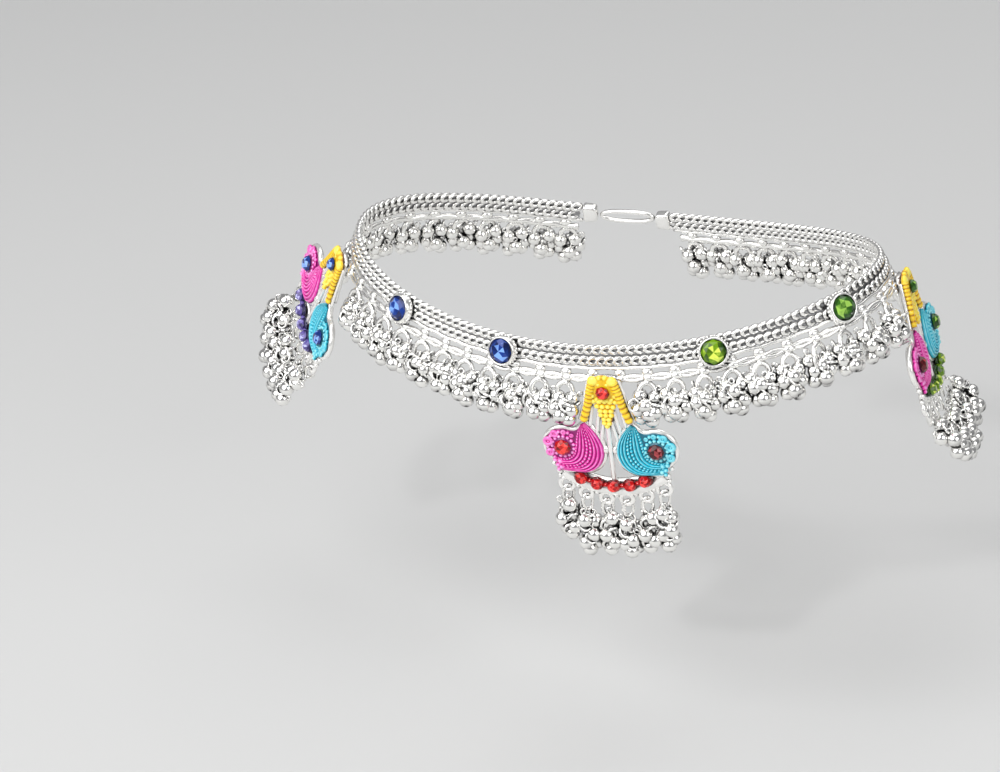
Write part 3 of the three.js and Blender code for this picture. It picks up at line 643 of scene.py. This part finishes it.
bird = {
    "outer": [
        (4.3, -9.9), (2.6, -11.9), (1.4, -14.3), (1.25, -16.7), (2.3, -18.9), (4.3, -20.1),
        (6.6, -20.2), (9.4, -20.1),
    ],
    "inner": [
        (5.1, -10.3), (5.75, -11.6), (6.25, -13.0), (6.55, -14.6), (6.95, -16.1), (7.9, -17.1),
        (9.3, -17.4), (10.5, -17.2),
    ],
    "bed": [
        (4.3, -9.9), (2.6, -11.9), (1.4, -14.3), (1.25, -16.7), (2.3, -18.9), (4.3, -20.1),
        (6.6, -20.1), (9.4, -20.0), (10.6, -18.2), (11.9, -16.7), (12.3, -14.8), (11.7, -12.9),
        (10.2, -11.7), (8.6, -11.3), (7.2, -11.6), (6.0, -11.4),
    ],
    "heart": (6.2, -15.6), "ridges": 8, "beaded": (3, 4, 7), "steps": 120, "across": 57, "beads": 19,
    # shares of the body's height: its floor, its swell and its ridges, then a ridge with no beads
    "low": 0.3, "swell": 0.34, "relief": 0.45, "plain": 0.94, "beadFoot": 0.1,
    "stone": 1.62, "stoneTall": 1.0, "stoneUp": 1.05, "stonePlace": (8.72, -14.88),
    # round the stone: the crest's curls as (degrees, size), and beads as (radius, size, degrees)
    "curlRadius": 2.85, "curls": ((128, 0.42), (96, 0.5), (60, 0.78), (18, 0.95), (-28, 0.8)),
    "necklace": (2.02, 0.37, range(0, 360, 24)), "crest": (2.95, 0.36, (112, 78, 40, -6, -52)),
    # the beaded foot of the body, at the outer corner: (x, y, size)
    "foot": [
        (9.6, -18.0, 0.5), (10.5, -17.8, 0.45), (10.1, -18.8, 0.45), (9.4, -19.2, 0.5), (10.0, -19.7, 0.4),
    ],
}


def crownShape():
    shapes = []
    base = pendant["enamelBack"]
    s = np.linspace(0, 1, 64)
    for side in (-1, 1):
        path = raised(curve([(side * x, y) for x, y in crown["legs"]], len(s)), base + 0.55)
        # the ribs' rise paints shade between the ribs and a highlight on them
        ribs = np.abs(np.sin(s * np.pi * crown["ribs"]))
        radius = crown["legWire"] * (1 - 0.18 * s) * (0.8 + 0.26 * ribs)
        shapes.append(tube(path, radius, sides=14, flat=0.75, rise=0.15 + 0.75 * ribs))
        x, y = crown["dotPlace"]
        shapes.append(ball((side * x, y, base + 0.55), crown["dot"], 20, 12, (1, 1, 0.62), (0.5, 1.15)))
        x, y = crown["shoulderPlace"]
        shapes.append(ball((side * x, y, base + 0.5), crown["shoulder"], 14, 8, (1, 0.8, 0.8), (0.2, 0.95)))
    # the low dome behind the stone, and the rope over it
    middle = (0, -crown["domeDown"], base + 0.25)
    shapes.append(ball(middle, crown["dome"], 24, 12, (1, 1.0, 0.26), (0.1, 0.55)))
    arch = np.radians(np.linspace(-crown["archHalf"], crown["archHalf"], 40))
    path = np.column_stack([
        crown["archWide"] * np.sin(arch), -crown["domeDown"] + crown["archTall"] * np.cos(arch),
    ])
    ribs = np.abs(np.sin(arch * crown["archRibs"]))
    shapes.append(tube(raised(path, base + 0.45), 0.36 + 0.14 * ribs, sides=10, rise=0.2 + 0.8 * ribs))
    for x, y in crown["beadPlaces"]:
        shapes.append(ball((x, y, base + 0.5), crown["bead"], 10, 6, rise=(0.1, 1.1)))
    for row, (count, y) in enumerate(crown["tongue"]):
        size = crown["tongueBead"] - crown["tongueTaper"] * row
        for i in range(count):
            x = (i - (count - 1) / 2) * size * 1.75
            shapes.append(ball((x, y, base + 0.35 + 0.1 * (i % 2)), size, 12, 8, (1, 0.92, 0.9), (0.1, 1.1)))
    # a low rise: the enamel paints this back piece in its shade colour
    shapes.append(ball((0, -crown["spineDown"], base + 0.15), 1.0, 16, 8, (1.3, 3.1, 0.4), (0.0, 0.2)))
    return joined(shapes)


def bedShape(outline, heart, low, high, rise=0.12, steps=96):
    # a low dome inside a closed outline: heart + s (outline - heart), its height falling at the edge
    edge = curve(list(outline) + [outline[0]], steps + 1)[:-1]
    shares = np.array([0, 0.35, 0.7, 0.9, 1.0, 1.0])
    heights = low + (high - low) * np.array([1, 1, 0.95, 0.75, 0.35, 0])
    flat = np.asarray(heart) + shares[:, None, None] * (edge - heart)[None]
    tall = np.broadcast_to(heights[:, None, None], flat.shape[:2] + (1,))
    base = raised(np.repeat([heart], steps, 0), low)[None]
    return gridShape(np.concatenate([np.concatenate([flat, tall], -1), base]), rise=rise)


def birdBody(back, top):
    # p(s, t) runs from the belly's line (t 0) to the line round the stone (t 1), and its height is
    # ridges |sin n pi t|, some of them cut into beads by |sin m pi s|
    steps, across = bird["steps"], bird["across"]
    belly, throat = curve(bird["outer"], steps), curve(bird["inner"], steps)
    s = np.linspace(0, 1, steps)[:, None]
    t = np.linspace(0, 1, across)[None]
    flat = belly[:, None] * (1 - t[..., None]) + throat[:, None] * t[..., None]
    ridge = np.abs(np.sin(bird["ridges"] * np.pi * t))
    index = np.floor(t * bird["ridges"] * 0.9999)
    cutting = np.abs(np.sin(bird["beads"] * np.pi * s + 0.8 * index))
    beaded = np.isin(index, bird["beaded"])
    wave = ridge**0.8 * np.where(beaded, bird["beadFoot"] + cutting**0.7, bird["plain"])
    swell = np.sin(np.pi * np.clip(t, 0.02, 0.98)) ** 0.5 * np.sin(np.pi * np.clip(s, 0.03, 0.97)) ** 0.35
    share = bird["low"] + bird["swell"] * swell + bird["relief"] * wave
    height = back + share * (top - back) * np.minimum(1, 0.4 + swell)
    upper = np.concatenate([flat, height[..., None]], -1)
    lower = np.concatenate([flat, np.full(flat.shape[:2] + (1,), back)], -1)
    skin = capped(np.concatenate([upper, lower[:, ::-1]], 1))
    # high rise on the ridges' tops and low in the grooves and underneath, for painted highlight and painted
    # shade
    rise = np.concatenate([0.05 + 0.95 * wave, np.zeros((steps, across))], 1)
    return gridShape(skin, rise=np.pad(rise, ((1, 1), (0, 0))))


def birdShape(side):
    back, (x, y) = pendant["enamelBack"], bird["stonePlace"]
    shapes = [
        birdBody(back, pendant["enamelTop"]),
        # the bed's low rise paints it in the enamel's shade colour
        bedShape(bird["bed"], bird["heart"], back - 0.05, back + 0.4),
    ]

    def around(radius, degrees, height):  # a place about the stone
        a = np.radians(degrees)
        return x + radius * np.cos(a), y + radius * np.sin(a), height

    for degrees, size in bird["curls"]:
        curl = ringOf(size * 0.7, size * 0.64, 18, 0.4 * size, sides=9)
        # the curl's upper half gets the higher rise, for a painted highlight on top
        rise = 0.3 + 0.6 * (curl[0][:, 2] > 0)
        shapes.append((curl[0] + around(bird["curlRadius"], degrees, back + 0.55), curl[1], rise))
        centre = around(bird["curlRadius"], degrees, back + 0.5)
        shapes.append(ball(centre, 0.32 * size, 10, 6, rise=(0.2, 1.0)))
    radius, size, places = bird["necklace"]
    for degrees in places:
        shapes.append(ball(around(radius, degrees, back + 0.5), size, 9, 6, rise=(0.1, 1.15)))
    radius, size, places = bird["crest"]
    for degrees in places:
        shapes.append(ball(around(radius, degrees, back + 0.4), size, 10, 6, rise=(0.1, 1.1)))
    for footX, footY, size in bird["foot"]:
        shapes.append(ball((footX, footY, back + 0.5), size, 10, 6, rise=(0.1, 1.1)))
    # a low rise: the bed round the stone is painted in the enamel's shade colour
    shapes.append(ball((x, y, back + 0.35), bird["stone"] + 0.3, 24, 8, (1, 1, 0.42), (0.0, 0.15)))
    corners, faces, rise = joined(shapes)
    return corners * (side, 1, 1), faces if side > 0 else faces[:, ::-1], rise


def onComb(radius, turn):  # a point on the arcs about the swag's centre
    turn = np.radians(turn)
    return np.stack([radius * np.sin(turn), -pendant["swagDown"] - radius * np.cos(turn)], -1)


def strip(path, halfWide, thick, base):
    # a flat bar along a path in the plate's plane, domed on top: corner = path + w side, base + h thick
    profile = np.array([
        (-1, 0.05), (-0.92, 0.55), (-0.55, 0.88), (0, 1.0), (0.55, 0.88), (0.92, 0.55), (1, 0.05), (0, 0),
    ])
    forward = np.gradient(path, axis=0)
    forward /= np.linalg.norm(forward, axis=1, keepdims=True)
    side = np.stack([-forward[:, 1], forward[:, 0]], -1)
    flat = path[:, None] + side[:, None] * profile[None, :, :1] * halfWide
    height = np.broadcast_to(base + profile[None, :, 1:] * thick, flat.shape[:2] + (1,))
    return gridShape(capped(np.concatenate([flat, height], -1)))


plate = {
    "thick": 0.8, "stemWire": 0.5, "stemUp": 1.0, "stem": ((0, -9.5), (0, -22.3)),
    "bar": ((-2.4, -15.6), (2.4, -15.6)), "knob": 0.75, "knobPlace": (0.95, -15.5),
    "struts": [  # from the crown to the birds
        ((1.35, -7.5), (2.35, -12.6)), ((2.7, -6.6), (3.4, -10.8)), ((0.7, -9.6), (1.75, -14.2)),
    ],
    "strutWire": 0.4, "strutUp": 0.95, "rimWire": 0.56, "rimIn": 0.06, "rimUp": 0.72,
    "legOut": 0.85, "legWire": 0.3,
    "legBack": ((0.9, -1.0), (4.2, -9.2)), "legBackHalf": 0.75, "middleBack": ((0, -0.6), (0, -9.8)),
    "middleBackHalf": 1.5, "corners": [(10.1, -20.4, 0.62, 12, 8), (11.0, -18.9, 0.5, 10, 6)],
    "comb": 15.2, "combHalf": 1.25, "combTurn": 39, "combThick": 1.1,
    "swagBack": 13.7, "swagBackHalf": 0.95, "swagBackTurn": 31,
    "lug": 1.12, "endLug": 1.3, "lugWire": 0.45, "bead": 0.5, "beadRadius": 16.2, "beadTurn": 6.5,
}


def plateShape():
    thick = plate["thick"]
    shapes = [
        tube(raised(np.linspace(*plate["stem"], 24), plate["stemUp"]), plate["stemWire"]),
        strip(np.linspace(*plate["bar"], 8), 0.45, 0.9, 0.3),
    ]
    for side in (-1, 1):
        x, y = plate["knobPlace"]
        shapes.append(ball((side * x, y, 0.95), plate["knob"], 12, 8, (0.9, 1.15, 0.8)))
        for strut in plate["struts"]:
            path = np.linspace(*(np.array(strut) * (side, 1)), 12)
            shapes.append(tube(raised(path, plate["strutUp"]), plate["strutWire"], sides=7))
        # the silver rim along each bird's belly and along each leg of the crown
        rim = curve(bird["bed"] + bird["bed"][:1], 121)[:-1] * (side, 1) - (side * plate["rimIn"], 0)
        shapes.append(tube(raised(rim, plate["rimUp"]), plate["rimWire"], closed=True))
        leg = curve([(side * (x + plate["legOut"]), y) for x, y in crown["legs"]], 40)
        shapes.append(tube(raised(leg, plate["strutUp"]), plate["legWire"]))
        bed = bedShape(bird["bed"], bird["heart"], 0.1, 0.75, rise=1)
        shapes.append(moved(bed, scale=(side * 0.99, 0.995, 1)))
        legBack = np.linspace(*(np.array(plate["legBack"]) * (side, 1)), 8)
        shapes.append(strip(legBack, plate["legBackHalf"], thick, 0))
        for x, y, size, sides, rows in plate["corners"]:
            shapes.append(ball((side * x, y, 0.8), size, sides, rows))
    shapes.append(strip(np.linspace(*plate["middleBack"], 8), plate["middleBackHalf"], thick, 0))
    # the comb: a broad crescent with six lugs under it, the end ones larger
    turns = np.linspace(-plate["combTurn"], plate["combTurn"], 60)
    shapes.append(strip(onComb(plate["comb"], turns), plate["combHalf"], plate["combThick"], 0))
    turns = np.linspace(-plate["swagBackTurn"], plate["swagBackTurn"], 40)
    shapes.append(strip(onComb(plate["swagBack"], turns), plate["swagBackHalf"], thick, 0))
    for i in range(pendant["drops"]):
        turn = (i - 2.5) * pendant["combStep"]
        x, y = onComb(pendant["lugRadius"], turn)
        size = plate["endLug"] if i in (0, pendant["drops"] - 1) else plate["lug"]
        shapes.append(moved(ringOf(size, size, 22, plate["lugWire"], sides=8), (x, y, pendant["lugUp"])))
        for nudge in (-plate["beadTurn"], plate["beadTurn"]):
            x, y = onComb(plate["beadRadius"], turn + nudge)
            shapes.append(ball((x, y, pendant["lugUp"]), plate["bead"], 9, 6))
    return joined(shapes)


swag = {"stones": 5, "radius": 1.22, "tall": 0.95, "up": 0.75, "bed": 1.38, "link": 0.5, "seed": 5}


def swagShapes():  # the gems, and the beds and links under them
    back, half = pendant["enamelBack"], swag["stones"] // 2
    gems, beds = [], []
    for i in range(-half, half + 1):
        x, y = onComb(pendant["swagRadius"], i * pendant["combStep"])
        gem = gemShape(swag["radius"], swag["tall"], seed=swag["seed"] + i)
        turn = turnAbout("Z", i * pendant["combStep"])
        gems.append(moved(gem, (x, y, back + swag["up"]), turn, (1.08, 0.98, 1)))
        beds.append(ball((x, y, back + 0.32), swag["bed"], 18, 8, (1.05, 0.95, 0.36), (0.2, 0.2)))
    for i in range(-half, half):
        x, y = onComb(pendant["swagRadius"], (i + 0.5) * pendant["combStep"])
        beds.append(ball((x, y, back + 0.4), swag["link"], 10, 6, (1.3, 0.8, 0.9), (0.75, 0.75)))
    return joined(gems), joined(beds)


drop = {
    "linkHalf": 0.95, "linkTall": 1.65, "linkWire": 0.34, "linkDown": 1.95,
    "ringHalf": 0.95, "ringTall": 1.1, "ringWire": 0.28,
    # its small rings: across, down, out and how far turned
    "rings": [(0, 3.0, 0.2, 70), (0.4, 4.3, 0.9, 20), (-0.7, 5.4, 1.1, 50), (0.3, 7.9, 1.2, 35)],
    # where its bells hang under its ring: across, down and out
    "bells": np.array([
        (-0.55, 4.0, 0.6), (0.75, 5.2, -0.4), (-0.85, 6.6, -0.4), (0.75, 7.3, 0.9), (-0.75, 8.7, 0.7),
        (0.75, 9.4, -0.3), (-0.1, 10.4, 0.5),
    ]),
    "bellSize": 1.02, "stir": 0.22, "stagger": 0.25,
}


def seatAxes(arc, lean, turn, tilt):  # the loop's frame there, turned about the plumb, leaned, tilted
    upright = seatsAt([arc], 0)[1][0]
    angles = turnAbout("Y", turn) @ turnAbout("X", -lean) @ turnAbout("Z", tilt)
    return (angles.T @ upright)[None]


def addPendant(name, arc, lean, turn, tilt, splay, reach, colors):
    origin, axes = seatsAt([arc])
    slope = max(0, np.sin(flareAt(angleAt(arc))[0] - np.radians(lean)))
    out = pendant["galleryHalf"] + pendant["stand"] + slope * (pendant["galleryFoot"] - pendant["hang"])
    seat = origin - pendant["hang"] * axes[:, 1] + out * axes[:, 2]
    axes = seatAxes(arc, lean, turn, tilt)
    dropAxes = (turnAbout("X", -splay).T @ axes[0])[None]  # the drops swing out about their rings
    back = pendant["enamelBack"]

    def put(piece, shape, material, slotName, node, smooth=True):
        placed = stamped(shape, seat, axes)
        addPiece(name + "_" + piece, placed, material, [name + "_" + node], smooth)

    def putGem(piece, shape, color, node):
        put(piece, shape, *stones[color], node, smooth=False)

    put("silverwork", plateShape(), plateSilver, "silver", "plate")
    put("crown_enamel", crownShape(), enamels["yellow"], "yellow_enamel", "crown")
    put("pink_bird", birdShape(-1), enamels["pink"], "pink_enamel", "peacock_pink")
    put("turquoise_bird", birdShape(1), enamels["turquoise"], "turquoise_enamel", "peacock_turquoise")
    gem = gemShape(crown["stone"], crown["stoneTall"], seed=1)
    gem = moved(gem, (*crown["stonePlace"], back + crown["stoneUp"]))
    putGem("crown_gem", gem, colors["crown"], "crown_stone")
    for side, key in ((-1, "pink"), (1, "turquoise")):
        x, y = bird["stonePlace"]
        gem = gemShape(bird["stone"], bird["stoneTall"], seed=2 + side)
        putGem(key + "_gem", moved(gem, (side * x, y, back + bird["stoneUp"])), colors[key], key + "_stone")
    gems, beds = swagShapes()
    putGem("swag_gems", gems, colors["swag"], "swag")
    put("swag_bed", beds, *stones[colors["swag"]], "swag")
    link = ringOf(drop["linkHalf"], drop["linkTall"], 14, drop["linkWire"])
    small = ringOf(drop["ringHalf"], drop["ringTall"], 12, drop["ringWire"])
    for i in range(pendant["drops"]):
        x, y = onComb(pendant["lugRadius"], (i - 2.5) * pendant["combStep"])
        side = 1 if i % 2 else -1
        hook = seat + x * axes[:, 0] + y * axes[:, 1] + pendant["lugUp"] * axes[:, 2]
        pivot = hook - pendant["ringDown"] * axes[:, 1]
        wires = [stamped(moved(link, (0, -drop["linkDown"], 0), turnAbout("Y", 30 + 8 * side)), hook, axes)]
        for across, down, forward, swing in drop["rings"]:
            turned = turnAbout("Z", side * swing) @ turnAbout("Y", swing)
            wires.append(stamped(moved(small, (side * across, -down, forward), turned), pivot, dropAxes))
        places = drop["bells"] * (side, reach + rng.uniform(-0.05, 0.04), 1) + (0, drop["stagger"] * side, 0)
        bunch = bellBunch(pivot, dropAxes, places, drop["bellSize"], drop["stir"])
        addPiece("%s_bells_%d" % (name, i + 1), joined(wires + [bunch]), bellSilver,
                 ["%s_drop_%d" % (name, i + 1)])
    print("pendant", name)


# lean, turn, tilt and the drops' splay are in degrees, and reach stretches the drops
addPendant("front", 0, lean=-3, turn=0, tilt=1, splay=0, reach=0.94,
           colors={"crown": "red", "pink": "red", "turquoise": "darkRed", "swag": "red"})
addPendant("left", -quarter, lean=18, turn=12, tilt=-32, splay=20, reach=1,
           colors={"crown": "blue", "pink": "blue", "turquoise": "blue", "swag": "violet"})
addPendant("right", quarter - cell, lean=13, turn=-5, tilt=1, splay=25, reach=1,
           colors={"crown": "green", "pink": "darkRed", "turquoise": "green", "swag": "brightGreen"})

# the plain closing at the back

def capShape(side):
    # a tapered block with round edges: half height falls from the band's to the clasp's
    u = np.linspace(-1, 1, 16)[:, None]
    a = (np.arange(24) / 24 * tau)[None]
    ease = (1 - np.abs(u) ** 6) ** 0.35
    tall = (closing["capTall"] - closing["capTaper"] * u * side) * ease
    deep = closing["capHalf"] * ease
    y = tall * np.sign(np.sin(a)) * np.abs(np.sin(a)) ** 0.45
    z = deep * np.sign(np.cos(a)) * np.abs(np.cos(a)) ** 0.45
    return gridShape(np.stack([u * closing["capLong"] / 2 + 0 * a, y, z], -1))


for side, word in ((1, "right"), (-1, "left")):
    origin, axes = seatsAt([side * (bandEnd + closing["gap"] + closing["capLong"] / 2)])
    addPiece("cap_" + word, stamped(capShape(side), origin, axes), silver, ["end_cap_" + word])
claspPath = oval(1, 1, 40)
claspPath = np.sign(claspPath) * np.abs(claspPath) ** np.array([0.7, 1.0, 1.0])  # fuller at the ends
claspPath = claspPath * (closing["claspHalf"] - closing["claspWire"], closing["claspTall"], 1)
claspRing = tube(claspPath, closing["claspWire"], sides=12, closed=True)
addPiece("clasp_link", stamped(claspRing, *seatsAt([loopLength / 2])), silver, ["clasp"])
print("clasp closed")

# floor, light and camera

studio = {"floor": -75, "floorSize": 3.0, "world": (0.80, 0.81, 0.83, 1), "worldStrength": 0.3}
lamps = {  # place and target in metres, width, power
    "key": ((-0.35, -0.6, 0.6), (0, 0, -0.01), 1.1, 8.4),
    "fill": ((0.65, -0.35, 0.35), (0, 0, -0.01), 0.6, 2.1),
    "top": ((0.05, 0.2, 0.8), (0, 0, -0.01), 0.7, 2.2),
    "back": ((0.2, 0.9, 0.7), (0, 0.45, -0.07), 0.8, 1.2),
    "glint": ((-0.12, -0.65, 0.6), (0, 0, -0.01), 0.07, 1.1),
}
floorFinish = Finish("pale_floor", Base_Color=(0.60, 0.60, 0.595, 1), Roughness=0.7)
bpy.ops.mesh.primitive_plane_add(size=studio["floorSize"], location=(0, 0, studio["floor"] * mm))
floor = bpy.context.object
floor.name = "floor"
floor.data.materials.append(floorFinish.material)

for name, (place, target, width, power) in lamps.items():
    light = bpy.data.lights.new(name, "AREA")
    light.shape = "DISK"
    light.size = width
    light.energy = power
    lamp = bpy.data.objects.new(name, light)
    lamp.location = place
    lamp.rotation_euler = (Vector(target) - Vector(place)).to_track_quat("-Z", "Y").to_euler()
    bpy.context.scene.collection.objects.link(lamp)
world = bpy.data.worlds.new("studio")
world.use_nodes = True
background = world.node_tree.nodes["Background"]
background.inputs["Color"].default_value = studio["world"]
background.inputs["Strength"].default_value = studio["worldStrength"]
bpy.context.scene.world = world
bpy.context.scene.view_settings.view_transform = "Standard"

view = {
    "azimuth": 26.0, "elevation": 26.0, "roll": 5.1, "distance": 0.72, "lens": 140.5,
    "aside": 21.4, "lower": 22.3,
}
azimuth, elevation, roll = np.radians([view["azimuth"], view["elevation"], view["roll"]])
level = np.cos(elevation)
back = np.array([np.sin(azimuth) * level, -np.cos(azimuth) * level, np.sin(elevation)])
right = np.array([np.cos(azimuth), np.sin(azimuth), 0])
up = np.cross(back, right)
rolledRight = np.cos(roll) * right - np.sin(roll) * up  # the picture's own right and up
rolledUp = np.cos(roll) * up + np.sin(roll) * right
place = back * view["distance"] - (view["aside"] * rolledRight + view["lower"] * rolledUp) * mm
camera = bpy.data.objects.new("camera", bpy.data.cameras.new("camera"))
camera.data.lens = view["lens"]
camera.data.clip_start = 0.01
camera.matrix_world = Matrix(np.column_stack([
    np.append(rolledRight, 0), np.append(rolledUp, 0), np.append(back, 0), np.append(place, 1),
]).tolist())
bpy.context.scene.collection.objects.link(camera)
bpy.context.scene.camera = camera
print("studio ready")
